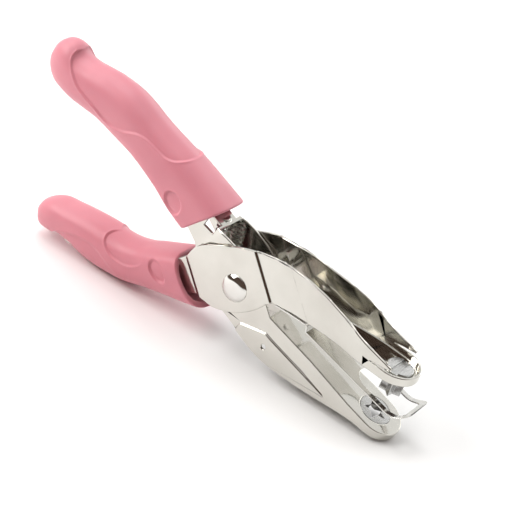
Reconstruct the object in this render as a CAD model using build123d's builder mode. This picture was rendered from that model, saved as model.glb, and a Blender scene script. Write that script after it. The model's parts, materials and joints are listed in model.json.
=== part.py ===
from build123d import *
from math import cos, sin, sqrt, radians
import os

# Single-hole craft punch, plier type, modelled open. Millimetres.
# +X towards the nose, +Y along the pivot rivet, +Z up. The origin is the centre of the footprint.
# The punch stands on the belly of its lower grip and on the nose of its lower jaw.

# ---------------------------------------------------------------- driving dimensions
PIVOT_X = 11.44           # pivot axis, from the origin
PIVOT_Z = 24.73
UPPER_SLOPE = -6.26       # degrees, upper jaw web against the horizontal
JAW_OPENING = 13.3        # degrees between the two webs when open
LOWER_SLOPE = UPPER_SLOPE - JAW_OPENING

SHEET = 1.0               # steel of both levers
EAR_HALF = 8.5            # outer faces of the outer lever at the pivot
EAR_GAP = 0.2             # side play between the two levers
INNER_HALF = EAR_HALF - SHEET - EAR_GAP
TANG_HALF = 6.2           # both handle tangs
NOSE_HALF = 8.5           # both rounded noses
UPPER_NOSE = 56.6         # centres of the nose roundings, from the pivot along each web
LOWER_NOSE = 60.0
JAW_HALF = 6.8            # upper jaw at its waist

UPPER_WEB = 4.7           # underside of the upper web above the pivot, at the nose
WEB_START = (13.6, 3.4)   # where that underside starts behind, and where it bends
WEB_BEND = (27, 4.2)
WEB_LEVEL = 38            # level from here to the nose
LOWER_WEB = 1.4           # top of the lower web above the pivot
NOSE_DEPTH = 3.3          # wall height round both noses

PIN_X = 58.5              # punch axis, from the pivot along the web
PIN_TIP = -2.6            # lowest point of the pin, in the upper jaw's frame
STAR_TIP_R = 4.0
STAR_ROOT_R = 1.95
DIE_CLEARANCE = 0.15
HEAD_R = 4.7
HEAD_HEIGHT = 1.5
HEAD_CHAMFER = 0.4
STAR_TIP_FILLET = 0.2

RIVET_R = 2.4
RIVET_HEAD_R = 4.75
RIVET_HEAD_HEIGHT = 1.5
RIVET_HEAD_RIM = 0.35     # upright edge of the domed head
RUNNING = 0.05            # radial clearance of the turning ear on the rivet
AXIAL_PLAY = 0.1

LEAF = 0.5                # stripper leaf thickness
LEAF_HALF = 7.5
HINGE_X = 27.0            # bend line of the leaf, in the upper jaw's frame
HINGE_Z = 3.6
LEAF_SLOPE = -11.5        # degrees, leaf against the upper web
TAB_START = 14.6

SPRING_X = -14.5          # spring axis behind the pivot, in the standing frame
SPRING_R = 1.65           # mean coil radius
WIRE_R = 0.35
SPRING_TURNS = 15
SPRING_TOP = 14.4         # seats of the spring, above and below the pivot
SPRING_FOOT = -9.3
PILOT = 1.8               # height of the seats' pilots
PILOT_GAP = 0.1
BOSS_DEPTH = 1.9          # from a seat back into its web

GUIDE_R = 0.85            # chip-catcher holes in the lower jaw walls
GUIDE_X = 19.3
GUIDE_Z = -8.4
PIN_NECK_R = 2.5          # round neck of the pin through the web
HEAD_SLOT = 2.6
HEAD_SLOT_DEPTH = 0.6
DIE_R = 5.6
DIE_FLANGE = 1.2          # thickness and overhang of the rim under the web
DIE_RIM = 0.9
SPACER_R = 3.6
NOTCH_X = -19.3           # notches in the top edges of the inner lever, at the foot of its tang
NOTCH_LENGTH = 4.2
NOTCH_WIDTH = 2.6
INNER_TANG_EDGE = 5.5
PANEL_HALF = 8.0          # stepped-out lower part of the lower jaw's walls
TAB_RIVET_R = 1.0
TAB_RIVETS = [(20, -3.7), (20, 3.7)]
LEAF_DROP = 2.0           # step from the bend line down to the leaf's underside
STEP_RUN = 1.0
LIP_START = 36.2          # along the leaf
LIP_R = 7.0
LIP_SWEEP = 50
LIP_STRAIGHT = 2.6
LIP_END = LIP_START + 7.0
LEAF_CORNER = 3.0
WINDOW_START = 26.7       # opening round the pin, from the centre of its round end
WINDOW_END = 41.6
WINDOW_HALF = 5.5
WINDOW_CORNER = 1.6
TAB_RIVET_FOOT = 2.9
TAB_RIVET_TOP = 4.75
TAB_HEAD_R = 1.8
TAB_HEAD_HEIGHT = 0.6
TAB_HEAD_TAPER = 30
SPRING_PLAY = 0.1
MOUTH_WALL = 1.9          # soft skirt at a grip's mouth

REACH = 60.0              # cutting solids reach past every face

PIVOT = Vector(PIVOT_X, 0, PIVOT_Z)


# ---------------------------------------------------------------- frames
def side_plane(slope):
    """Side view of a lever: local x along its web, local y up, normal towards -Y."""
    along = (cos(radians(slope)), 0, sin(radians(slope)))
    return Plane(origin=PIVOT, x_dir=along, z_dir=(0, -1, 0))


def plan_plane(slope, height=0.0):
    """Top view of a lever: local x along its web, local y across it."""
    along = Vector(cos(radians(slope)), 0, sin(radians(slope)))
    up = Vector(-sin(radians(slope)), 0, cos(radians(slope)))
    return Plane(origin=PIVOT + up * height, x_dir=along, z_dir=up)


UPPER_SIDE = side_plane(UPPER_SLOPE)
UPPER_PLAN = plan_plane(UPPER_SLOPE)
LOWER_SIDE = side_plane(LOWER_SLOPE)
LOWER_PLAN = plan_plane(LOWER_SLOPE)

# Direction of both pressed joggle lines of the outer lever, in its side view.
JOGGLE = UPPER_SIDE.from_local_coords(Vector(0.67, -0.74, 0)) - PIVOT


def band_points(stations, inset=0.0):
    """Closed outline of a strip from (distance, half width) stations, drawn in to the sheet's inner face."""
    right = [(x, half - inset) for x, half in stations]
    left = [(x, -y) for x, y in reversed(right)]
    return right + left


def nose_prism(plane, centre, inset):
    """Upright prism of a jaw's plan: straight sides and a half-round nose."""
    radius = NOSE_HALF - inset
    with BuildPart() as prism:
        with BuildSketch(plane):
            with BuildLine():
                Polyline((centre, radius), (-90, radius), (-90, -radius), (centre, -radius))
                ThreePointArc((centre, -radius), (centre + radius, 0), (centre, radius))
            make_face()
        extrude(amount=REACH, both=True)
    return prism.part


def width_prism(plane, stations, inset, direction=None):
    """Prism of a lever's width along its length, square to the plane or slanted."""
    with BuildPart() as prism:
        with BuildSketch(plane):
            with BuildLine():
                Polyline(*band_points(stations, inset), close=True)
            make_face()
        extrude(amount=REACH, dir=direction, both=True)
    return prism.part


def spring_boss(seat_z, web_z):
    """Round dimple that seats the spring, with a pilot inside the coil; upright, from the seat to the web."""
    towards = 1 if web_z > seat_z else -1
    with BuildPart() as boss:
        with BuildSketch(Plane.XY.offset(PIVOT_Z + seat_z)):
            with Locations((PIVOT_X + SPRING_X, 0)):
                Circle(SPRING_R + WIRE_R)
        extrude(amount=web_z - seat_z)
        with BuildSketch(Plane.XY.offset(PIVOT_Z + seat_z)):
            with Locations((PIVOT_X + SPRING_X, 0)):
                Circle(SPRING_R - WIRE_R - PILOT_GAP)
        extrude(amount=-towards * PILOT)
    return boss.part


# ---------------------------------------------------------------- outer lever: upper jaw and lower handle
OUTER_STATIONS = [(-90, TANG_HALF), (-23.4, TANG_HALF), (-20.3, EAR_HALF), (15.9, EAR_HALF),
                  (16.7, 7.8), (25, JAW_HALF), (38, JAW_HALF), (44, 7.3), (50, 8.2), (54, NOSE_HALF),
                  (90, NOSE_HALF)]

with BuildPart() as outer_hollow:
    with BuildSketch(UPPER_SIDE):
        with BuildLine():
            Polyline((13.2, 30), (13.2, WEB_START[1] + SHEET), (WEB_BEND[0], WEB_BEND[1] + SHEET),
                     (WEB_LEVEL, UPPER_WEB + SHEET), (80, UPPER_WEB + SHEET), (80, 30), close=True)
        make_face()
        with BuildLine():
            Polyline((13.4, 30), (13.4, -30), (-8.8, -30), (-9.6, -10.2), (-25.5, -17.9), (-41, -24.1),
                     (-67.2, -26.9), (-67.2, -10), (-40, -4), (-20, 30), close=True)
        make_face()
    extrude(amount=20, both=True)
    add(width_prism(UPPER_PLAN, OUTER_STATIONS, SHEET, JOGGLE), mode=Mode.INTERSECT)
    add(nose_prism(UPPER_PLAN, UPPER_NOSE, SHEET), mode=Mode.INTERSECT)

with BuildPart() as upper_jaw_lever:
    with BuildSketch(UPPER_SIDE):
        with BuildLine():
            crest = Spline((-20.2, -1.5), (-17.9, 4.5), (-12.6, 9.0), (-5.7, 12.9), (2, 16.2), (9, 17.6),
                           (16, 18.1), (23, 17.8), (30, 17.1), (40, 15.0), (50, 11.7), (58, 9.0),
                           (67, UPPER_WEB + NOSE_DEPTH), tangents=((1, 2.8), (1, 0.02)))
            Polyline(crest @ 1, (67, UPPER_WEB), (WEB_LEVEL, UPPER_WEB), WEB_BEND, WEB_START, (12.1, 1.8))
            ThreePointArc((12.1, 1.8), (3.7, -7.7), (-5, -11.6))
            Polyline((-5, -11.6), (-9.9, -11.4), (-25.5, -19), (-41, -25.2), (-68.2, -28), (-68.2, -20.2),
                     (-41, -16.3), (-27, -9.2), crest @ 0)
        make_face()
    extrude(amount=20, both=True)
    add(width_prism(UPPER_PLAN, OUTER_STATIONS, 0, JOGGLE), mode=Mode.INTERSECT)
    add(nose_prism(UPPER_PLAN, UPPER_NOSE, 0), mode=Mode.INTERSECT)
    add(outer_hollow.part, mode=Mode.SUBTRACT)
    with BuildSketch(UPPER_SIDE):
        Circle(RIVET_R + RUNNING)
    extrude(amount=20, both=True, mode=Mode.SUBTRACT)
    with BuildSketch(UPPER_PLAN):
        with Locations((PIN_X, 0)):
            Circle(PIN_NECK_R)
    extrude(amount=10, mode=Mode.SUBTRACT)
    with BuildSketch(UPPER_PLAN):
        with Locations(*TAB_RIVETS):
            Circle(TAB_RIVET_R)
    extrude(amount=7, mode=Mode.SUBTRACT)
    add(spring_boss(SPRING_FOOT, SPRING_FOOT - BOSS_DEPTH))
upper_jaw_lever.part.label = "upper_jaw_lever"

# ---------------------------------------------------------------- inner lever: lower jaw and upper handle
INNER_STATIONS = [(-90, TANG_HALF), (-18, TANG_HALF), (-14.5, INNER_HALF), (34, INNER_HALF),
                  (52, NOSE_HALF), (90, NOSE_HALF)]
PANEL = [(8.3, -8.8), (12.5, -6.5), (17.3, -4.0), (20, -4.2), (44, -4.2), (47, -6), (47, -30), (8.3, -30)]

with BuildPart() as inner_hollow:
    with BuildSketch(LOWER_SIDE):
        with BuildLine():
            Polyline((80, LOWER_WEB - SHEET), (14.2, LOWER_WEB - SHEET), (14.2, -30), (80, -30), close=True)
        make_face()
        with BuildLine():
            Polyline((14.4, -30), (14.4, 30), (-15.8, 30), (-15.8, 9.4), (-38.8, 11.6), (-57, 14.2),
                     (-77, 11.3), (-77, -30), close=True)
        make_face()
    extrude(amount=20, both=True)
    add(width_prism(LOWER_PLAN, INNER_STATIONS, SHEET), mode=Mode.INTERSECT)
    add(nose_prism(LOWER_PLAN, LOWER_NOSE, SHEET), mode=Mode.INTERSECT)

with BuildSketch(LOWER_SIDE) as inner_outline:
    with BuildLine():
        Polyline((69, LOWER_WEB), (14.6, LOWER_WEB))
        ThreePointArc((14.6, LOWER_WEB), (8.6, 5.4), (1.6, 8.8))
        ThreePointArc((1.6, 8.8), (-7.5, 10.6), (-16.6, 10.4))
        Polyline((-16.6, 10.4), (-38.8, 12.6), (-57, 15.2), (-78, 12.2), (-78, 4.2), (-57, 6.8), (-38.8, 3.6),
                 (-25.1, 1.1), (-20.4, -0.9), (-18.0, -3.5), (-13.5, -5.6))
        ThreePointArc((-13.5, -5.6), (-8, -9.6), (0, -11))
        belly = Spline((0, -11), (10, -12.2), (20, -13), (33, -10.3), (45, -6.5), (58, -2.3),
                       (69, LOWER_WEB - NOSE_DEPTH), tangents=((1, -0.05), (1, 0.02)))
        Line(belly @ 1, (69, LOWER_WEB))
    make_face()

with BuildPart() as lower_jaw_panel:
    with BuildSketch(LOWER_SIDE):
        add(inner_outline.sketch_local)
        with BuildLine():
            Polyline(*PANEL, close=True)
        make_face(mode=Mode.INTERSECT)
    extrude(amount=PANEL_HALF, both=True)
    with BuildSketch(LOWER_SIDE):
        with BuildLine():
            Polyline(*PANEL, close=True)
        make_face()
    extrude(amount=PANEL_HALF - SHEET, both=True, mode=Mode.SUBTRACT)

with BuildPart() as lower_jaw_lever:
    extrude(inner_outline.sketch, amount=20, both=True)
    add(width_prism(LOWER_PLAN, INNER_STATIONS, 0), mode=Mode.INTERSECT)
    add(nose_prism(LOWER_PLAN, LOWER_NOSE, 0), mode=Mode.INTERSECT)
    add(inner_hollow.part, mode=Mode.SUBTRACT)
    with BuildSketch(LOWER_SIDE):
        with BuildLine():
            Polyline(*PANEL, close=True)
        make_face()
    extrude(amount=PANEL_HALF - SHEET, both=True, mode=Mode.SUBTRACT)
    add(lower_jaw_panel.part)
    with BuildSketch(LOWER_SIDE):
        Circle(RIVET_R)
    extrude(amount=20, both=True, mode=Mode.SUBTRACT)
    with BuildSketch(LOWER_SIDE):
        with Locations((GUIDE_X, GUIDE_Z)):
            Circle(GUIDE_R)
    extrude(amount=20, both=True, mode=Mode.SUBTRACT)
    with BuildSketch(LOWER_PLAN):
        with Locations((PIN_X, 0)):
            Circle(DIE_R)
    extrude(amount=5, both=True, mode=Mode.SUBTRACT)
    with BuildSketch(LOWER_PLAN.offset(7)):
        with Locations((NOTCH_X, INNER_TANG_EDGE), (NOTCH_X, -INNER_TANG_EDGE)):
            Rectangle(NOTCH_LENGTH, NOTCH_WIDTH)
    extrude(amount=10, mode=Mode.SUBTRACT)
    add(spring_boss(SPRING_TOP, SPRING_TOP + BOSS_DEPTH))
lower_jaw_lever.part.label = "lower_jaw_lever"

# ---------------------------------------------------------------- pivot
grip_length = EAR_HALF + AXIAL_PLAY
edge = grip_length + RIVET_HEAD_RIM
crown = grip_length + RIVET_HEAD_HEIGHT
dome_rise = crown - edge
dome_r = (RIVET_HEAD_R ** 2 + dome_rise ** 2) / (2 * dome_rise)
half_way = RIVET_HEAD_R / 2
shoulder = crown - dome_r + sqrt(dome_r ** 2 - half_way ** 2)
with BuildPart() as pivot_rivet:
    with BuildSketch(Plane(origin=PIVOT, x_dir=(0, 1, 0), z_dir=(1, 0, 0))):
        with BuildLine():
            Polyline((crown, 0), (-crown, 0))
            ThreePointArc((-crown, 0), (-shoulder, half_way), (-edge, RIVET_HEAD_R))
            Polyline((-edge, RIVET_HEAD_R), (-grip_length, RIVET_HEAD_R), (-grip_length, RIVET_R),
                     (grip_length, RIVET_R), (grip_length, RIVET_HEAD_R), (edge, RIVET_HEAD_R))
            ThreePointArc((edge, RIVET_HEAD_R), (shoulder, half_way), (crown, 0))
        make_face()
    revolve(axis=Axis(PIVOT, (0, 1, 0)))
pivot_rivet.part.label = "pivot_rivet"

with BuildPart() as pivot_spacer:
    with BuildSketch(LOWER_SIDE):
        Circle(SPACER_R)
        Circle(RIVET_R, mode=Mode.SUBTRACT)
    extrude(amount=INNER_HALF - SHEET, both=True)
pivot_spacer.part.label = "pivot_spacer"


# ---------------------------------------------------------------- punch and die
def star_points(tip, root):
    """Corners of a five-pointed star, its first tip towards the nose."""
    corners = []
    for step in range(10):
        radius = tip if step % 2 == 0 else root
        angle = radians(36 * step)
        corners.append((PIN_X + radius * cos(angle), radius * sin(angle)))
    return corners


with BuildPart() as punch_pin:
    with BuildSketch(plan_plane(UPPER_SLOPE, PIN_TIP)):
        with BuildLine():
            Polyline(*star_points(STAR_TIP_R, STAR_ROOT_R), close=True)
        make_face()
        fillet(vertices().sort_by_distance((PIN_X, 0, 0))[5:], STAR_TIP_FILLET)
    extrude(amount=UPPER_WEB - PIN_TIP)
    with BuildSketch(plan_plane(UPPER_SLOPE, UPPER_WEB)):
        with Locations((PIN_X, 0)):
            Circle(PIN_NECK_R)
    extrude(amount=SHEET)
    with BuildSketch(plan_plane(UPPER_SLOPE, UPPER_WEB + SHEET)):
        with Locations((PIN_X, 0)):
            Circle(HEAD_R)
    extrude(amount=HEAD_HEIGHT)
    top = faces().filter_by(GeomType.PLANE).sort_by(Axis(PIVOT, UPPER_PLAN.z_dir))[-1]
    chamfer(top.edges(), HEAD_CHAMFER)
    with BuildSketch(plan_plane(UPPER_SLOPE, UPPER_WEB + SHEET + HEAD_HEIGHT)):
        with Locations((PIN_X, 0)):
            Rectangle(HEAD_SLOT, 3 * HEAD_R)
    extrude(amount=-HEAD_SLOT_DEPTH, mode=Mode.SUBTRACT)
punch_pin.part.label = "punch_pin"

with BuildPart() as die_button:
    with BuildSketch(plan_plane(LOWER_SLOPE, LOWER_WEB)):
        with Locations((PIN_X, 0)):
            Circle(DIE_R)
    extrude(amount=-SHEET)
    with BuildSketch(plan_plane(LOWER_SLOPE, LOWER_WEB - SHEET)):
        with Locations((PIN_X, 0)):
            Circle(DIE_R + DIE_RIM)
    extrude(amount=-DIE_FLANGE)
    with BuildSketch(plan_plane(LOWER_SLOPE, LOWER_WEB)):
        with BuildLine():
            Polyline(*star_points(STAR_TIP_R + DIE_CLEARANCE, STAR_ROOT_R + DIE_CLEARANCE), close=True)
        make_face()
    extrude(amount=-5, mode=Mode.SUBTRACT)
die_button.part.label = "die_button"

# ---------------------------------------------------------------- stripper
# Local frame of the leaf: x along it from its bend line, y up.
BEND = UPPER_SIDE.from_local_coords(Vector(HINGE_X, HINGE_Z, 0))
leaf_angle = UPPER_SLOPE + LEAF_SLOPE
leaf_along = Vector(cos(radians(leaf_angle)), 0, sin(radians(leaf_angle)))
leaf_up = Vector(-sin(radians(leaf_angle)), 0, cos(radians(leaf_angle)))
LEAF_SIDE = Plane(origin=BEND, x_dir=leaf_along, z_dir=(0, -1, 0))
LEAF_PLAN = Plane(origin=BEND, x_dir=leaf_along, z_dir=leaf_up)

with BuildPart() as stripper_plate:
    with BuildSketch(LEAF_SIDE):
        with BuildLine():
            flat = Polyline((0, 0), (STEP_RUN, -LEAF_DROP), (LIP_START, -LEAF_DROP))
            curl = CenterArc((LIP_START, LIP_R - LEAF_DROP), LIP_R, 270, LIP_SWEEP)
            tip = PolarLine(curl @ 1, LIP_STRAIGHT, direction=curl % 1)
            offset(amount=LEAF, side=Side.LEFT)
        make_face()
    extrude(amount=LEAF_HALF, both=True)
    with BuildSketch(LEAF_PLAN):
        with BuildLine():
            Polyline((-2, LEAF_HALF), (LIP_END, LEAF_HALF), (LIP_END, -LEAF_HALF), (-2, -LEAF_HALF),
                     close=True)
        make_face()
        fillet(vertices().sort_by(Axis.X)[-2:], LEAF_CORNER)
    extrude(amount=12, both=True, mode=Mode.INTERSECT)
    with BuildSketch(LEAF_PLAN):
        with BuildLine():
            Line((WINDOW_START, WINDOW_HALF), (WINDOW_END, WINDOW_HALF))
            Line((WINDOW_END, WINDOW_HALF), (WINDOW_END, -WINDOW_HALF))
            Line((WINDOW_END, -WINDOW_HALF), (WINDOW_START, -WINDOW_HALF))
            round_end = WINDOW_START - WINDOW_HALF
            ThreePointArc((WINDOW_START, -WINDOW_HALF), (round_end, 0), (WINDOW_START, WINDOW_HALF))
        make_face()
        fillet(vertices().sort_by(Axis.X)[-2:], WINDOW_CORNER)
    extrude(amount=12, both=True, mode=Mode.SUBTRACT)
stripper_plate.part.label = "stripper_plate"


def web_underside(x):
    """Height of the upper web's underside over its sloping rear stretch."""
    return WEB_START[1] + (WEB_BEND[1] - WEB_START[1]) * (x - WEB_START[0]) / (WEB_BEND[0] - WEB_START[0])


with BuildPart() as stripper_tab:
    with BuildSketch(UPPER_SIDE):
        with BuildLine():
            tab_end = HINGE_X - 0.4
            rear_z = web_underside(TAB_START)
            front_z = web_underside(tab_end)
            Polyline((TAB_START, rear_z), (tab_end, front_z), (tab_end, front_z - LEAF),
                     (TAB_START, rear_z - LEAF), close=True)
        make_face()
    extrude(amount=LEAF_HALF, both=True)
    with BuildSketch(UPPER_PLAN):
        with Locations(*TAB_RIVETS):
            Circle(TAB_RIVET_R)
    extrude(amount=7, mode=Mode.SUBTRACT)
stripper_tab.part.label = "stripper_tab"

with BuildPart() as stripper_rivets:
    with BuildSketch(plan_plane(UPPER_SLOPE, TAB_RIVET_FOOT)):
        with Locations(*TAB_RIVETS):
            Circle(TAB_RIVET_R)
    extrude(amount=TAB_RIVET_TOP - TAB_RIVET_FOOT)
    with BuildSketch(plan_plane(UPPER_SLOPE, TAB_RIVET_TOP)):
        with Locations(*TAB_RIVETS):
            Circle(TAB_HEAD_R)
    extrude(amount=TAB_HEAD_HEIGHT, taper=TAB_HEAD_TAPER)
stripper_rivets.part.label = "stripper_rivets"

# ---------------------------------------------------------------- return spring
with BuildPart() as return_spring:
    height = SPRING_TOP - SPRING_FOOT - 2 * WIRE_R - SPRING_PLAY
    foot = Vector(PIVOT_X + SPRING_X, 0, PIVOT_Z + SPRING_FOOT + SPRING_PLAY + WIRE_R)
    with BuildLine(Plane(origin=foot)):
        coil = Helix(pitch=height / SPRING_TURNS, height=height, radius=SPRING_R)
    with BuildSketch(Plane(origin=coil @ 0, z_dir=coil % 0)):
        Circle(WIRE_R)
    sweep(path=coil, is_frenet=True)
return_spring.part.label = "return_spring"

# ---------------------------------------------------------------- grips
# Each station, in the frame of the lever that carries the grip: distance along and height above its web
# line, lean from upright in degrees, half height, half width and corner radius, from mouth to butt.
UPPER_GRIP = [(-22.5, 7.3, 26, 9.8, 9.3, 4.7), (-32.3, 8.5, 19, 9.6, 8.9, 5.5),
              (-41.9, 10.0, 11, 8.7, 8.6, 6.0), (-54.6, 11.1, 6, 8.0, 8.4, 6.3),
              (-65.9, 11.6, -4, 8.8, 8.4, 7.1), (-74.1, 10.8, -11, 8.5, 8.2, 7.2),
              (-80.0, 9.3, -12, 8.1, 8.0, 7.0), (-84.8, 8.0, -9, 7.8, 7.8, 6.8),
              (-88.9, 7.6, -5, 7.7, 7.5, 6.6), (-92.9, 8.2, 0, 8.2, 6.9, 6.2),
              (-96.1, 8.9, 3, 7.2, 5.8, 5.2), (-98.5, 9.6, 5, 5.2, 4.2, 3.8),
              (-99.8, 10.0, 5, 2.4, 2.0, 1.8)]
LOWER_GRIP = [(-16.1, -10.5, -53, 10.1, 9.4, 4.7), (-24.6, -13.7, -34, 8.4, 8.9, 5.0),
              (-34.2, -17.6, -20, 7.5, 8.5, 5.4), (-43.8, -21.2, -13, 7.7, 8.3, 6.2),
              (-54.8, -22.5, -6, 8.2, 8.1, 6.9), (-63.8, -22.7, -3, 7.1, 7.7, 6.2),
              (-69.8, -23.0, -5, 6.1, 7.4, 5.3), (-74.7, -24.1, -9, 6.3, 7.0, 5.6),
              (-79.0, -25.8, -13, 5.1, 5.6, 4.4), (-81.6, -26.8, -15, 2.4, 2.6, 2.2)]


def grip_section(side, station, inset=0.0):
    """Rounded rectangle of one grip section, square to the side view of its lever."""
    x, z, lean, half_height, half_width, radius = station
    centre = side.from_local_coords(Vector(x, z, 0))
    up = side.from_local_coords(Vector(x + sin(radians(lean)), z + cos(radians(lean)), 0)) - centre
    across = Vector(0, 1, 0)
    with BuildSketch(Plane(origin=centre, x_dir=across, z_dir=across.cross(up))) as section:
        RectangleRounded(2 * (half_width - inset), 2 * (half_height - inset), radius - inset / 2)
    return section.sketch


def grip_sleeve(side, stations, tang):
    """Soft sleeve: a lofted body with a pocket for the lever's tang and a hollow mouth."""
    with BuildPart() as sleeve:
        for station in stations:
            add(grip_section(side, station))
        loft()
        add(tang, mode=Mode.SUBTRACT)
        for station in stations[:2]:
            add(grip_section(side, station, MOUTH_WALL))
        loft(mode=Mode.SUBTRACT)
    return sleeve.part


def tang_prism(plane, outline):
    """Solid that fills a handle tang's outer envelope."""
    with BuildPart() as prism:
        with BuildSketch(plane):
            with BuildLine():
                Polyline(*outline, close=True)
            make_face()
        extrude(amount=TANG_HALF, both=True)
    return prism.part


UPPER_TANG = [(-10, 13), (-16.6, 10.4), (-38.8, 12.6), (-57, 15.2), (-78, 12.2), (-78, 4.2), (-57, 6.8),
              (-38.8, 3.6), (-25.1, 0.3), (-10, -9)]
LOWER_TANG = [(-5, 2), (-20.2, -1.5), (-27, -9.2), (-41, -16.3), (-68.2, -20.2), (-68.2, -28), (-41, -25.2),
              (-25.5, -19), (-5, -9)]

with BuildPart() as upper_grip:
    add(grip_sleeve(LOWER_SIDE, UPPER_GRIP, tang_prism(LOWER_SIDE, UPPER_TANG)))
upper_grip.part.label = "upper_grip"

with BuildPart() as lower_grip:
    add(grip_sleeve(UPPER_SIDE, LOWER_GRIP, tang_prism(UPPER_SIDE, LOWER_TANG)))
lower_grip.part.label = "lower_grip"

os.makedirs("parts", exist_ok=True)
for piece in (upper_jaw_lever, lower_jaw_lever, pivot_rivet, pivot_spacer, punch_pin, die_button,
              stripper_plate, stripper_tab, stripper_rivets, return_spring, upper_grip, lower_grip):
    export_step(piece.part, f"parts/{piece.part.label}.step")
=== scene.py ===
from math import cos, pi, radians, sin

import bmesh
import bpy
import numpy as np
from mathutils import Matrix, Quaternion, Vector
from mathutils.bvhtree import BVHTree
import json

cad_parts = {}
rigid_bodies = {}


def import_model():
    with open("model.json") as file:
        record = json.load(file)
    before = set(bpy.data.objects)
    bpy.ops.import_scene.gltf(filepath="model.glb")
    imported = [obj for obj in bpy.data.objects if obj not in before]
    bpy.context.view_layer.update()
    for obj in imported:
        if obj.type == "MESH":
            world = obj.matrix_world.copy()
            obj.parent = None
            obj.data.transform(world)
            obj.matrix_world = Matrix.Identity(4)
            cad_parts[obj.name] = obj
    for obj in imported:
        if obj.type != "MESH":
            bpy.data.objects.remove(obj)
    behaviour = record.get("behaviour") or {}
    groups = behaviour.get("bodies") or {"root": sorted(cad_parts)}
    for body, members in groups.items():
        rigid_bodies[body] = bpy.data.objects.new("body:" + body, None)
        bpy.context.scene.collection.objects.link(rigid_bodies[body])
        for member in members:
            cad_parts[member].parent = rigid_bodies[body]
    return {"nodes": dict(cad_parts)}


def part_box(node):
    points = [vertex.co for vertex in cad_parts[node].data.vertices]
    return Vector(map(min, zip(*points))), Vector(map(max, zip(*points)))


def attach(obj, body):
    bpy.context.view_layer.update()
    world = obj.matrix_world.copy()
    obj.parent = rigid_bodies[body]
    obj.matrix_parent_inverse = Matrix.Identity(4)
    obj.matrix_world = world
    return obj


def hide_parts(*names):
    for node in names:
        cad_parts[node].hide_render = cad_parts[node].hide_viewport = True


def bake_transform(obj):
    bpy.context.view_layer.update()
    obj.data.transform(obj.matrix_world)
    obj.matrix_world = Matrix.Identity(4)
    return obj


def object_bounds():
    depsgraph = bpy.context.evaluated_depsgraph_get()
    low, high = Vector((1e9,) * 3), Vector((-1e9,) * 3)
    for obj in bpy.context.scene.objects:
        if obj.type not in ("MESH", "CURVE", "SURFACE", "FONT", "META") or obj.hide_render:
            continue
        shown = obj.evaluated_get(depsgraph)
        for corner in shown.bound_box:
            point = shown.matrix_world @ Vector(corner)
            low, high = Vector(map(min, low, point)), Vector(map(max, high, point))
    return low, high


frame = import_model()

MM = 0.001
UPPER_SLOPE = radians(-6.26)      # web of the lever that carries the punch and the lower grip
LOWER_SLOPE = radians(-19.56)     # web of the lever that carries the die and the upper grip

for left_over in [o for o in bpy.data.objects if o.name in ("Cube", "Light", "Camera")]:
    bpy.data.objects.remove(left_over, do_unlink=True)


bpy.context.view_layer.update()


def centre_of(node):
    low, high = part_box(node)
    return (Vector(low) + Vector(high)) / 2


PIVOT = centre_of("pivot_rivet")


# ---------------------------------------------------------------- materials


def shader(name, colour, metallic, roughness):
    """New material with its principled shader; returns (material, nodes, links, principled)."""
    material = bpy.data.materials.new(name)
    material.use_nodes = True
    nodes = material.node_tree.nodes
    principled = nodes["Principled BSDF"]
    principled.inputs["Base Color"].default_value = (*colour, 1)
    principled.inputs["Metallic"].default_value = metallic
    principled.inputs["Roughness"].default_value = roughness
    return material, nodes, material.node_tree.links, principled


def noise(nodes, links, scale, detail, stretch=(1, 1, 1)):
    """Noise in the piece's own metres, drawn out along an axis where stretch is small."""
    place = nodes.new("ShaderNodeTexCoord")
    mapping = nodes.new("ShaderNodeMapping")
    mapping.inputs["Scale"].default_value = stretch
    pattern = nodes.new("ShaderNodeTexNoise")
    pattern.inputs["Scale"].default_value = scale
    pattern.inputs["Detail"].default_value = detail
    links.new(place.outputs["Object"], mapping.inputs["Vector"])
    links.new(mapping.outputs["Vector"], pattern.inputs["Vector"])
    return pattern.outputs["Fac"]


def spread(nodes, links, source, low, high):
    """Source from 0.3 to 0.7 spread over low to high."""
    ramp = nodes.new("ShaderNodeMapRange")
    ramp.inputs["From Min"].default_value = 0.3
    ramp.inputs["From Max"].default_value = 0.7
    ramp.inputs["To Min"].default_value = low
    ramp.inputs["To Max"].default_value = high
    links.new(source, ramp.inputs["Value"])
    return ramp.outputs["Result"]


def tint(nodes, links, source, first, second):
    """Colour that runs from first to second with the source."""
    ramp = nodes.new("ShaderNodeValToRGB")
    ramp.color_ramp.elements[0].position = 0.35
    ramp.color_ramp.elements[0].color = (*first, 1)
    ramp.color_ramp.elements[1].position = 0.65
    ramp.color_ramp.elements[1].color = (*second, 1)
    links.new(source, ramp.inputs["Fac"])
    return ramp.outputs["Color"]


def relief(nodes, links, principled, layers):
    """Bumps in turn: (height source, depth in metres, strength)."""
    last = None
    for source, depth, strength in layers:
        bump = nodes.new("ShaderNodeBump")
        bump.inputs["Distance"].default_value = depth
        bump.inputs["Strength"].default_value = strength
        links.new(source, bump.inputs["Height"])
        if last is not None:
            links.new(last, bump.inputs["Normal"])
        last = bump.outputs["Normal"]
    links.new(last, principled.inputs["Normal"])


def plated(name, first, second, rough, wave, scratch):
    """Bright nickel plate: slow waves in the pressed sheet, faint cloudiness and hairline wipe marks."""
    material, nodes, links, principled = shader(name, first, 1.0, rough)
    cloud = noise(nodes, links, 90, 3)
    links.new(tint(nodes, links, cloud, first, second), principled.inputs["Base Color"])
    wipes = noise(nodes, links, 900, 2, (0.12, 1, 1))
    links.new(spread(nodes, links, wipes, rough * 0.75, rough * 1.35), principled.inputs["Roughness"])
    relief(nodes, links, principled, [(noise(nodes, links, 70, 1), wave, 0.5), (wipes, scratch, 0.25)])
    return material


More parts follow.
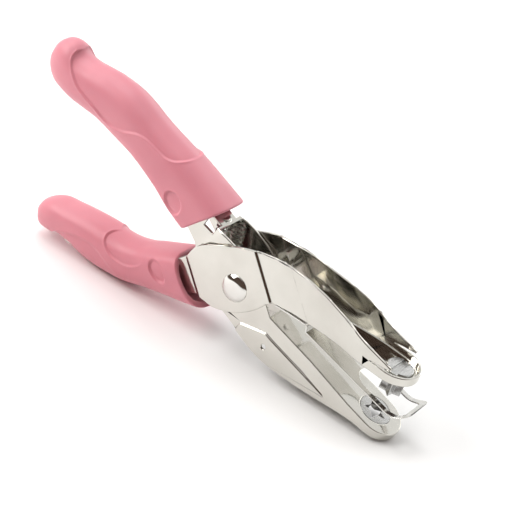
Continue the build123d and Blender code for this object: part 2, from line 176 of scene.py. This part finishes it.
def turned_steel(name, first, second, rough, grain):
    """Ground and turned tool steel: fine grooves and darker oil in them."""
    material, nodes, links, principled = shader(name, first, 1.0, rough)
    lines = noise(nodes, links, 2600, 3, (1, 0.18, 1))
    links.new(tint(nodes, links, lines, first, second), principled.inputs["Base Color"])
    links.new(spread(nodes, links, lines, rough * 0.8, rough * 1.3), principled.inputs["Roughness"])
    relief(nodes, links, principled, [(lines, grain, 0.5)])
    return material


def soft_touch(name, first, second):
    """Matt moulded rubber with a faint eggshell grain."""
    material, nodes, links, principled = shader(name, first, 0.0, 0.42)
    blotch = noise(nodes, links, 45, 3)
    links.new(tint(nodes, links, blotch, first, second), principled.inputs["Base Color"])
    grain = noise(nodes, links, 2400, 3)
    links.new(spread(nodes, links, grain, 0.38, 0.5), principled.inputs["Roughness"])
    principled.inputs["Subsurface Weight"].default_value = 0.12
    principled.inputs["Subsurface Radius"].default_value = (1.0, 0.35, 0.3)
    principled.inputs["Subsurface Scale"].default_value = 0.0015
    principled.inputs["Sheen Weight"].default_value = 0.12
    principled.inputs["Sheen Roughness"].default_value = 0.5
    relief(nodes, links, principled, [(grain, 0.00003, 0.35), (blotch, 0.0002, 0.15)])
    return material


NICKEL = plated("nickel_plate", (0.67, 0.655, 0.61), (0.62, 0.605, 0.56), 0.1, 0.0004, 0.000002)
POLISHED = plated("polished_rivet", (0.76, 0.75, 0.72), (0.70, 0.69, 0.66), 0.09, 0.0002, 0.000002)
LEAF_STEEL = plated("leaf_steel", (0.72, 0.71, 0.68), (0.66, 0.65, 0.62), 0.12, 0.0003, 0.000002)
TOOL = turned_steel("tool_steel", (0.50, 0.50, 0.49), (0.40, 0.40, 0.39), 0.2, 0.00001)
WIRE = turned_steel("drawn_wire", (0.72, 0.71, 0.68), (0.5, 0.49, 0.47), 0.16, 0.00001)
PINK = soft_touch("pink_soft_touch", (0.64, 0.215, 0.265), (0.68, 0.24, 0.29))


# ---------------------------------------------------------------- mesh helpers

CAD_WELD = 2e-6                   # CAD points closer than this are one point
FLAT = radians(0.5)               # faces that meet at less than this are one flat
SHARP = radians(28)               # an edge that turns more than this is rounded over
TIGHT = radians(30)               # a face corner narrower than this has no room for a full rounding
TIGHT_SHARE = 0.12                # share of the rounding that an edge at a tight corner gets
ROUND_STEPS = 4                   # steps across a rounded edge
WELD = 0.012 * MM                 # rounded points closer than this are one point
FOLD_CORNERS = 5                  # a face that the rounding folded over has no more corners than this
FOLD_FACING = -0.2                # and looks at least this much away from the CAD surface beside it
HOLE_SIDES = 12                   # the hole that a removed face leaves has no more sides than this


def piece(name, vertices, faces, material, body, nodes):
    """Mesh piece in the row frame that rides a body given by its name, or else is baked in place, and stands
    for CAD nodes.
    """
    mesh = bpy.data.meshes.new(name)
    mesh.from_pydata([tuple(v) for v in vertices], [], faces)
    mesh.validate()
    bm = bmesh.new()
    bm.from_mesh(mesh)
    bmesh.ops.recalc_face_normals(bm, faces=bm.faces)
    bm.to_mesh(mesh)
    bm.free()
    mesh.shade_smooth()
    obj = bpy.data.objects.new(name, mesh)
    bpy.context.scene.collection.objects.link(obj)
    mesh.materials.append(material)
    if isinstance(body, str):
        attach(obj, body)
    else:
        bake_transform(obj)
    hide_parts(*nodes)
    return obj


def stay_on_surface(mesh, source, reach):
    """Puts points that a rounding threw further than reach back on the CAD surface, and mends the folds."""
    bm = bmesh.new()
    bm.from_mesh(source.data)
    bm.transform(source.matrix_world)
    tree = BVHTree.FromBMesh(bm)
    bm.free()
    for vertex in mesh.vertices:
        nearest = tree.find_nearest(vertex.co)
        if nearest[3] > reach:
            vertex.co = nearest[0]
    bm = bmesh.new()
    bm.from_mesh(mesh)
    bmesh.ops.remove_doubles(bm, verts=bm.verts, dist=WELD)
    bmesh.ops.dissolve_degenerate(bm, edges=bm.edges, dist=WELD)
    turned_over = []
    for face in bm.faces:
        if len(face.verts) <= FOLD_CORNERS:
            middle = face.calc_center_median()
            beside = [tree.find_nearest(loop.vert.co.lerp(middle, 0.3))[1] for loop in face.loops]
            if max(face.normal.dot(normal) for normal in beside) < FOLD_FACING:
                turned_over.append(face)
    bmesh.ops.delete(bm, geom=turned_over, context="FACES_ONLY")
    bmesh.ops.holes_fill(bm, edges=[line for line in bm.edges if line.is_boundary], sides=HOLE_SIDES)
    bm.to_mesh(mesh)
    bm.free()


def weigh_edges(bm):
    """Marks the edges to round over, for a small share of the rounding where a face corner is tight."""
    weight = bm.edges.layers.float.new("bevel_weight_edge")
    for line in bm.edges:
        if len(line.link_faces) == 2 and line.calc_face_angle() > SHARP:
            corners = [loop.calc_angle() for end in line.verts for loop in end.link_loops
                       if loop.face in line.link_faces]
            line[weight] = TIGHT_SHARE if min(corners) < TIGHT else 1.0


def flat_copy(name, source):
    """Mesh of a CAD piece where it stands, its flats made whole again and its edges marked for rounding."""
    mesh = source.data.copy()
    mesh.name = name
    mesh.transform(source.matrix_world)
    mesh.materials.clear()
    bm = bmesh.new()
    bm.from_mesh(mesh)
    bmesh.ops.remove_doubles(bm, verts=bm.verts, dist=CAD_WELD)
    bmesh.ops.dissolve_limit(bm, angle_limit=FLAT, verts=bm.verts, edges=bm.edges,
                             use_dissolve_boundaries=False)
    bmesh.ops.recalc_face_normals(bm, faces=bm.faces)
    weigh_edges(bm)
    bm.to_mesh(mesh)
    bm.free()
    if "custom_normal" in mesh.attributes:
        mesh.attributes.remove(mesh.attributes["custom_normal"])
    mesh.shade_smooth()
    return mesh


def pressed(name, node, body, material, edge):
    """Piece made from a CAD node, with every sharp edge rounded over to edge mm."""
    source = frame["nodes"][node]
    mesh = flat_copy(name, source)
    obj = bpy.data.objects.new(name, mesh)
    bpy.context.scene.collection.objects.link(obj)
    mesh.materials.append(material)
    bevel = obj.modifiers.new("rounded_edges", "BEVEL")
    bevel.width = edge * MM
    bevel.segments = ROUND_STEPS
    bevel.limit_method = "WEIGHT"
    bevel.use_clamp_overlap = False
    bpy.context.view_layer.update()
    rounded = bpy.data.meshes.new_from_object(obj.evaluated_get(bpy.context.evaluated_depsgraph_get()))
    obj.modifiers.clear()
    obj.data = rounded
    rounded.name = name
    stay_on_surface(rounded, source, edge * MM / 2)
    weighted = obj.modifiers.new("flat_faces", "WEIGHTED_NORMAL")
    weighted.keep_sharp = False
    weighted.weight = 90
    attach(obj, body)
    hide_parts(node)


def ring_faces(rings, count):
    """Faces between rings of count points, closed by a single point before and after them."""
    faces = []
    for ring in range(rings - 1):
        low = 1 + ring * count
        for i in range(count):
            j = (i + 1) % count
            faces.append((low + i, low + j, low + count + j, low + count + i))
    last = 1 + (rings - 1) * count
    faces += [(0, 1 + (i + 1) % count, 1 + i) for i in range(count)]
    faces += [(last + i, last + (i + 1) % count, last + count) for i in range(count)]
    return faces


def turned(name, profile, centre, material, body, nodes, count=72):
    """Lathe piece about a line along Y: profile is (radius, distance from the middle) in mm, axis to axis."""
    vertices = [centre + Vector((0, profile[0][1] * MM, 0))]
    for radius, along in profile[1:-1]:
        for i in range(count):
            turn = 2 * pi * i / count
            vertices.append(centre + Vector((radius * cos(turn), along, radius * sin(turn))) * MM)
    vertices.append(centre + Vector((0, profile[-1][1] * MM, 0)))
    return piece(name, vertices, ring_faces(len(profile) - 2, count), material, body, nodes)


# ---------------------------------------------------------------- grips


def through(points, steps):
    """Catmull-Rom curve through rows of numbers."""
    rows = np.array(points, float)
    rows = np.vstack([2 * rows[0] - rows[1], rows, 2 * rows[-1] - rows[-2]])
    out = []
    for i in range(1, len(rows) - 2):
        a, b, c, d = rows[i - 1:i + 3]
        for t in np.linspace(0, 1, steps, endpoint=False):
            out.append(0.5 * (2 * b + (c - a) * t + (2 * a - 5 * b + 4 * c - d) * t * t
                              + (3 * b - a - 3 * c + d) * t ** 3))
    out.append(rows[-2])
    return np.array(out)


def distance_to(line, s, w):
    """Distance of every (s, w) from a line of points, all in mm."""
    best = np.full(s.shape, 1e9)
    for (x0, y0), (x1, y1) in zip(line[:-1], line[1:]):
        dx, dy = x1 - x0, y1 - y0
        t = np.clip(((s - x0) * dx + (w - y0) * dy) / (dx * dx + dy * dy + 1e-12), 0, 1)
        best = np.minimum(best, np.hypot(s - x0 - t * dx, w - y0 - t * dy))
    return best


def inside(line, s, w):
    """True where (s, w) is inside the closed line."""
    hit = np.zeros(s.shape, bool)
    loop = np.vstack([line, line[:1]])
    for (x0, y0), (x1, y1) in zip(loop[:-1], loop[1:]):
        if y0 == y1:
            continue
        hit ^= ((y0 > w) != (y1 > w)) & (s < (x1 - x0) * (w - y0) / (y1 - y0) + x0)
    return hit


def ease(value):
    """Smooth step from 0 to 1."""
    value = np.clip(value, 0, 1)
    return value * value * (3 - 2 * value)


def scooped(outline, s, w, depth, width, lip):
    """Shallow panel sunk inside a smooth outline, with a thin raised lip round it."""
    line = through(outline, 8)
    far = distance_to(line, s, w)
    signed = np.where(inside(line, s, w), far, -far)
    raised = np.exp(-((signed + 0.65 * width) / (0.45 * width)) ** 2)
    return -depth * ease(signed / width + 0.5) + lip * raised


def dimple(centre, half_long, half_short, tilt, s, w, depth):
    """Oval finger dimple with a thin raised lip and a slightly domed floor."""
    u = (s - centre[0]) * cos(tilt) + (w - centre[1]) * sin(tilt)
    v = (w - centre[1]) * cos(tilt) - (s - centre[0]) * sin(tilt)
    reach = (np.hypot(u / half_long, v / half_short) - 1) * half_short
    return (-depth * ease(0.5 - reach / 0.6) + 0.07 * np.exp(-((reach - 0.6) / 0.4) ** 2)
            + 0.12 * depth * ease(0.5 - (reach + 1.8) / 2.4))


def superellipse(half_width, half_height, power, count):
    """Points at even spacing round a rounded section, from its bottom by its near side: (across, up)."""
    t = np.linspace(0, 2 * pi, 1441)
    across = -half_width * np.sign(np.sin(t)) * np.abs(np.sin(t)) ** (2 / power)
    up = -half_height * np.sign(np.cos(t)) * np.abs(np.cos(t)) ** (2 / power)
    run = np.r_[0, np.cumsum(np.hypot(np.diff(across), np.diff(up)))]
    at = np.linspace(0, run[-1], count, endpoint=False)
    return np.interp(at, run, across), np.interp(at, run, up)


def outward(skin):
    """Unit normals of a grid of rings, away from the rings' middles."""
    forward = np.gradient(skin, axis=0)
    sideways = (np.roll(skin, -1, axis=1) - np.roll(skin, 1, axis=1)) / 2
    normal = np.cross(forward, sideways)
    normal /= np.linalg.norm(normal, axis=2, keepdims=True) + 1e-12
    middle = skin.mean(axis=1, keepdims=True)
    return -normal if ((skin - middle) * normal).sum() < 0 else normal


RIM = 0.75                        # mm, radius of the rim round a grip's mouth
INSIDE_STEPS = (7.5, 5.5, 3.5, 2.0, RIM)
RIM_TURNS = (25, 50, 75, 90)


def grip(name, node, body, slope, stations, shape, bow, wall=1.9, count=220, pitch=0.28):
    """Moulded grip: smooth sections along the handle, shaped skin, round rim, hollow mouth.

    bow is how far the rim is drawn back between its top and bottom corners."""
    rows = np.array(stations, float)
    run = np.r_[0, np.cumsum(np.hypot(np.diff(rows[:, 0]), np.diff(rows[:, 1])))]
    fine = through(np.column_stack([run, rows]), 12)
    length = run[-1]

    q = np.arange(count) / (count / 2)
    q = np.where(q > 1, 2 - q, q)

    def ring(s, inset):
        high, wide, radius = (np.interp(s, fine[:, 0], fine[:, k]) for k in range(4, 7))
        power = 2 + 2.8 * (1 - radius / min(high, wide))
        across, up = superellipse(wide - inset, high - inset, power, count)
        drawn = s + bow * np.sin(pi * q) ** 2 * max(0, 1 - s / 10)
        x, z, lean = (np.interp(drawn, fine[:, 0], fine[:, k]) for k in range(1, 4))
        across = across * np.interp(drawn, fine[:, 0], fine[:, 5]) / wide
        up = up * np.interp(drawn, fine[:, 0], fine[:, 4]) / high
        lean = np.radians(lean)
        local_x = x + up * np.sin(lean)
        local_z = z + up * np.cos(lean)
        return np.column_stack([local_x * cos(slope) - local_z * sin(slope), across,
                                local_x * sin(slope) + local_z * cos(slope)])

    along = np.linspace(RIM, length, int(length / pitch))
    skin = np.array([ring(s, 0) for s in along])
    s_grid = np.repeat(along[:, None], count, axis=1)
    lift = shape(s_grid, np.repeat(q[None, :], len(along), axis=0))
    lift *= ease((s_grid - RIM) / 1.5) * ease((length - s_grid) / 2.0)
    skin = skin + outward(skin) * lift[..., None]

    rings = [ring(run[1] - 0.4, wall)]
    rings += [ring(s, wall) for s in INSIDE_STEPS]
    for turn in RIM_TURNS:
        rings.append(ring(RIM - RIM * sin(radians(turn)), wall - RIM + RIM * cos(radians(turn))))
    for turn in reversed(RIM_TURNS):
        rings.append(ring(RIM - RIM * sin(radians(turn)), RIM - RIM * cos(radians(turn))))
    rings += list(skin)
    end = rings[-1].mean(axis=0) + (rings[-1].mean(axis=0) - rings[-3].mean(axis=0)) * 0.5
    bottom = rings[0].mean(axis=0)
    points = np.vstack([bottom[None], *rings, end[None]]) * MM + np.array(PIVOT)
    return piece(name, points, ring_faces(len(rings), count), PINK, body, [node])


# Sections of a grip: (x and z of its middle from the pivot in the lever's frame in mm, lean in degrees,
# half height, half width and corner radius in mm).
UPPER_STATIONS = [(-22.5, 7.3, 26, 9.8, 9.3, 4.7), (-32.3, 8.5, 19, 9.6, 8.9, 5.5),
                  (-41.9, 10.0, 11, 8.7, 8.6, 6.0), (-54.6, 11.1, 6, 8.0, 8.4, 6.3),
                  (-65.9, 11.6, -4, 8.8, 8.4, 7.1), (-74.1, 10.8, -11, 8.5, 8.2, 7.2),
                  (-80.0, 9.3, -12, 8.1, 8.0, 7.0), (-84.8, 8.0, -9, 7.8, 7.8, 6.8),
                  (-88.9, 7.6, -5, 7.7, 7.5, 6.6), (-92.9, 8.2, 0, 8.2, 6.9, 6.2),
                  (-96.1, 8.9, 3, 7.2, 5.8, 5.2), (-98.5, 9.6, 5, 5.2, 4.2, 3.8),
                  (-99.8, 10.0, 5, 2.4, 2.0, 1.8)]
LOWER_STATIONS = [(-16.1, -10.5, -53, 10.1, 9.4, 4.7), (-24.6, -13.7, -34, 8.4, 8.9, 5.0),
                  (-34.2, -17.6, -20, 7.5, 8.5, 5.4), (-43.8, -21.2, -13, 7.7, 8.3, 6.2),
                  (-54.8, -22.5, -6, 8.2, 8.1, 6.9), (-63.8, -22.7, -3, 7.1, 7.7, 6.2),
                  (-69.8, -23.0, -5, 6.1, 7.4, 5.3), (-74.7, -24.1, -9, 6.3, 7.0, 5.6),
                  (-79.0, -25.8, -13, 5.1, 5.6, 4.4), (-81.6, -26.8, -15, 2.4, 2.6, 2.2)]

# Outlines on a grip's side: (mm from the mouth, share of the way up from the bottom ridge to the top ridge).
UPPER_PANEL = [(68.9, 1.15), (69.0, 1.0), (69.4, 0.93), (69.7, 0.85), (69.2, 0.77), (67.4, 0.70),
               (64.5, 0.62), (60.8, 0.52), (57.2, 0.46), (53.1, 0.41), (48.6, 0.365), (44.5, 0.37),
               (39.2, 0.46), (35.3, 0.58), (32.0, 0.64), (27.8, 0.66), (23.5, 0.675), (20.6, 0.73),
               (18.9, 0.83), (18.2, 0.94), (17.9, 1.15)]
LOWER_PANEL = [(34.0, 1.15), (34.2, 1.0), (35.2, 0.93), (36.2, 0.85), (36.4, 0.77), (35.7, 0.70),
               (34.0, 0.64), (31.6, 0.585), (28.3, 0.55), (24.3, 0.535), (20.4, 0.57), (17.4, 0.66),
               (15.6, 0.8), (14.6, 1.15)]
LOWER_BELLY = [(60.4, -0.15), (59.6, 0.1), (57.8, 0.27), (54.5, 0.39), (49.2, 0.50), (45.0, 0.55),
               (40.9, 0.56), (37.4, 0.53), (34.6, 0.48), (31.0, 0.40), (27.4, 0.30), (25.0, 0.16),
               (24.2, -0.15)]
UPPER_DIMPLE = (9.9, 0.385)
LOWER_DIMPLE = (11.7, 0.565)
TYPICAL_HALF = 27.0               # mm round a grip from its bottom ridge to its top ridge


def from_top(along, share):
    """Point of an outline in mm from the mouth and mm from the top ridge."""
    return along, (share - 1) * TYPICAL_HALF


def near_ridge(q):
    """Rises from 0 on the sides to 1 on the top ridge."""
    return ease((q - 0.84) / 0.16)


def upper_shape(s, q):
    """Height of the upper grip's skin over its plain sections, in mm."""
    top = (q - 1) * TYPICAL_HALF
    lift = scooped([from_top(*p) for p in UPPER_PANEL], s, top, 0.5, 0.75, 0.16) * (1 - 0.7 * near_ridge(q))
    return lift + dimple(from_top(*UPPER_DIMPLE), 4.3, 2.9, radians(22), s, top, 0.85)


def lower_shape(s, q):
    """Height of the lower grip's skin over its plain sections, in mm."""
    top = (q - 1) * TYPICAL_HALF
    fade = ease((s - 17) / 6) * (1 - 0.75 * near_ridge(q))
    lift = scooped([from_top(*p) for p in LOWER_PANEL], s, top, 0.45, 0.8, 0.14) * fade
    belly = [(along, share * TYPICAL_HALF) for along, share in LOWER_BELLY]
    lift += scooped(belly, s, q * TYPICAL_HALF, 0.35, 1.3, 0.1) * ease((s - 26) / 10)
    return lift + dimple(from_top(*LOWER_DIMPLE), 4.0, 2.6, radians(48), s, top, 0.8)


grip("upper_grip_skin", "upper_grip", "lower_jaw", LOWER_SLOPE, UPPER_STATIONS, upper_shape, 0.3)
grip("lower_grip_skin", "lower_grip", "upper_jaw", UPPER_SLOPE, LOWER_STATIONS, lower_shape, 2.0)


# ---------------------------------------------------------------- sheet metal

pressed("upper_jaw_sheet", "upper_jaw_lever", "upper_jaw", NICKEL, 0.4)
pressed("lower_jaw_sheet", "lower_jaw_lever", "lower_jaw", NICKEL, 0.4)
pressed("stripper_leaf", "stripper_plate", "stripper", LEAF_STEEL, 0.12)
pressed("stripper_root", "stripper_tab", "upper_jaw", LEAF_STEEL, 0.12)
pressed("stripper_rivet_pair", "stripper_rivets", "upper_jaw", POLISHED, 0.15)
pressed("punch_star_pin", "punch_pin", "upper_jaw", TOOL, 0.12)
pressed("die_ring", "die_button", "lower_jaw", TOOL, 0.15)
pressed("spacer_tube", "pivot_spacer", "lower_jaw", POLISHED, 0.15)

# Pivot rivet: two low domes with a rolled rim and a faint set mark, and the shank between them.
RIVET_SIDE = [(0, 10.03), (1.2, 10.02), (1.75, 10.0), (2.3, 9.94), (2.9, 9.8), (3.5, 9.58), (4.0, 9.28),
              (4.4, 8.98), (4.66, 8.75), (4.75, 8.6), (4.7, 8.5), (4.6, 8.48), (3.2, 8.47), (2.45, 8.47)]
SHANK = [(2.4, -8.2), (2.4, 8.2)]
NEAR_SIDE = [(radius, -along) for radius, along in RIVET_SIDE]
turned("pivot_rivet_set", NEAR_SIDE + SHANK + RIVET_SIDE[::-1], PIVOT, POLISHED, "lower_jaw",
       ["pivot_rivet"])


# ---------------------------------------------------------------- return spring


TURNS, STEPS_PER_TURN, WIRE_SIDES = 15, 40, 12
WIRE_RADIUS = 0.35 * MM
CLOSED_TURNS = 1.1                # turns at each end that lie against each other
CLOSED_RISE = 2.1                 # wire radii that a closed turn rises


def coil(name, node, lower, upper):
    """Round wire wound between its two seats, with closed end turns, baked in place where it stands."""
    low, high = (Vector(corner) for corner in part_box(node))
    wire = WIRE_RADIUS
    radius = (high.x - low.x) / 2 - wire
    axis = Vector(((low.x + high.x) / 2, (low.y + high.y) / 2, 0))
    bottom, top = low.z + wire, high.z - wire
    total = TURNS * STEPS_PER_TURN
    closed = CLOSED_TURNS / TURNS
    closed_climb = CLOSED_TURNS * CLOSED_RISE * wire / (top - bottom)
    centres = []
    for i in range(total + 1):
        turn = i / STEPS_PER_TURN
        share = turn / TURNS
        if share < closed:
            climb = share / closed * closed_climb
        elif share > 1 - closed:
            climb = 1 - (1 - share) / closed * closed_climb
        else:
            climb = closed_climb + (share - closed) / (1 - 2 * closed) * (1 - 2 * closed_climb)
        angle = 2 * pi * turn
        height = bottom + climb * (top - bottom)
        centres.append(axis + Vector((radius * cos(angle), radius * sin(angle), height)))
    vertices = [centres[0]]
    for i, centre in enumerate(centres):
        ahead = centres[min(i + 1, total)] - centres[max(i - 1, 0)]
        ahead.normalize()
        out = centre - axis
        out.z = 0
        out.normalize()
        side = ahead.cross(out).normalized()
        out = side.cross(ahead).normalized()
        for k in range(WIRE_SIDES):
            turn = 2 * pi * k / WIRE_SIDES
            vertices.append(centre + (out * cos(turn) + side * sin(turn)) * wire)
    vertices.append(centres[-1])
    bodies = (lower, upper, Vector((axis.x, 0, high.z)), Vector((axis.x, 0, low.z)))
    return piece(name, vertices, ring_faces(total + 1, WIRE_SIDES), WIRE, bodies, [node])


coil("return_spring_coil", "return_spring", "lower_jaw", "upper_jaw")


# ---------------------------------------------------------------- floor, light, camera

floor_material = shader("pale_floor", (0.93, 0.93, 0.93), 0.0, 0.8)[0]
floor_mesh = bpy.data.meshes.new("floor")
floor_mesh.from_pydata([(-4, -4, 0), (4, -4, 0), (4, 4, 0), (-4, 4, 0)], [], [(0, 1, 2, 3)])
floor_mesh.materials.append(floor_material)
floor = bpy.data.objects.new("floor", floor_mesh)
floor.location.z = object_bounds()[0][2]
bpy.context.scene.collection.objects.link(floor)


def panel(name, direction, distance, width, height, power, colour=(1, 1, 1)):
    """Soft box that faces the object from a direction."""
    light = bpy.data.lights.new(name, "AREA")
    light.shape = "RECTANGLE"
    light.size = width
    light.size_y = height
    light.energy = power
    light.color = colour
    obj = bpy.data.objects.new(name, light)
    towards = Vector(direction).normalized()
    obj.location = PIVOT + towards * distance
    obj.rotation_euler = (-towards).to_track_quat("-Z", "Y").to_euler()
    bpy.context.scene.collection.objects.link(obj)


panel("overhead", (-0.45, 0.1, 1.0), 1.1, 0.8, 0.7, 6)
panel("left_side", (-0.9, -0.6, 0.8), 1.0, 0.6, 0.5, 7, (1, 0.98, 0.96))
panel("back_side", (0.1, 1.0, 0.45), 1.1, 0.8, 0.3, 2)

world = bpy.data.worlds.new("studio")
bpy.context.scene.world = world
world.use_nodes = True
world_nodes = world.node_tree.nodes
world_links = world.node_tree.links
background = world_nodes["Background"]
background.inputs["Strength"].default_value = 1.0
direction = world_nodes.new("ShaderNodeTexCoord")
split = world_nodes.new("ShaderNodeSeparateXYZ")
world_links.new(direction.outputs["Generated"], split.inputs["Vector"])


def world_ramp(source, stops):
    """Colours along one axis of the sky, given as (height from -1 to 1, colour)."""
    ramp = world_nodes.new("ShaderNodeValToRGB")
    shift = world_nodes.new("ShaderNodeMapRange")
    shift.inputs["From Min"].default_value = -1
    world_links.new(source, shift.inputs["Value"])
    world_links.new(shift.outputs["Result"], ramp.inputs["Fac"])
    elements = ramp.color_ramp.elements
    for element, (height, colour) in zip(elements, (stops[0], stops[-1])):
        element.position = (height + 1) / 2
        element.color = (*colour, 1)
    for height, colour in stops[1:-1]:
        elements.new((height + 1) / 2).color = (*colour, 1)
    return ramp.outputs["Color"]


# The room is dark brown behind the viewer and a pale wall stands behind the object, under a pale ceiling.
DARK = (0.075, 0.045, 0.035)
WALL = (0.95, 0.95, 0.94)
CEILING = (0.8, 0.8, 0.79)
ON, OFF = (1, 1, 1), (0, 0, 0)
depth_colour = world_ramp(split.outputs["Y"], [(-1, (0.11, 0.08, 0.065)), (-0.6, DARK),
                                               (-0.25, (0.12, 0.09, 0.07)), (0.1, (0.5, 0.48, 0.45)),
                                               (0.35, WALL), (1, WALL)])
ceiling = world_ramp(split.outputs["Z"], [(-1, ON), (-0.02, ON), (0.06, OFF),
                                          (0.84, OFF), (0.93, ON), (1, ON)])
blend_sky = world_nodes.new("ShaderNodeMix")
blend_sky.data_type = "RGBA"
world_links.new(ceiling, blend_sky.inputs["Factor"])
world_links.new(depth_colour, blend_sky.inputs["A"])
blend_sky.inputs["B"].default_value = (*CEILING, 1)
world_links.new(blend_sky.outputs["Result"], background.inputs["Color"])

CAMERA_AZIMUTH, CAMERA_ELEVATION, CAMERA_ROLL = radians(26.41), radians(31.01), radians(16.03)
CAMERA_DISTANCE = 0.6
back = Vector((sin(CAMERA_AZIMUTH) * cos(CAMERA_ELEVATION), -cos(CAMERA_AZIMUTH) * cos(CAMERA_ELEVATION),
               sin(CAMERA_ELEVATION)))
camera_data = bpy.data.cameras.new("camera")
camera_data.sensor_width = 36
camera_data.lens = 128.28
camera_data.shift_x = 0.0228
camera_data.shift_y = 0.0358
camera_data.clip_start = 0.01
camera = bpy.data.objects.new("camera", camera_data)
camera.rotation_mode = "QUATERNION"
camera.location = PIVOT + back * CAMERA_DISTANCE
camera.rotation_quaternion = (-back).to_track_quat("-Z", "Y") @ Quaternion((0, 0, 1), CAMERA_ROLL)
bpy.context.scene.collection.objects.link(camera)
bpy.context.scene.camera = camera
bpy.context.scene.view_settings.view_transform = "Standard"
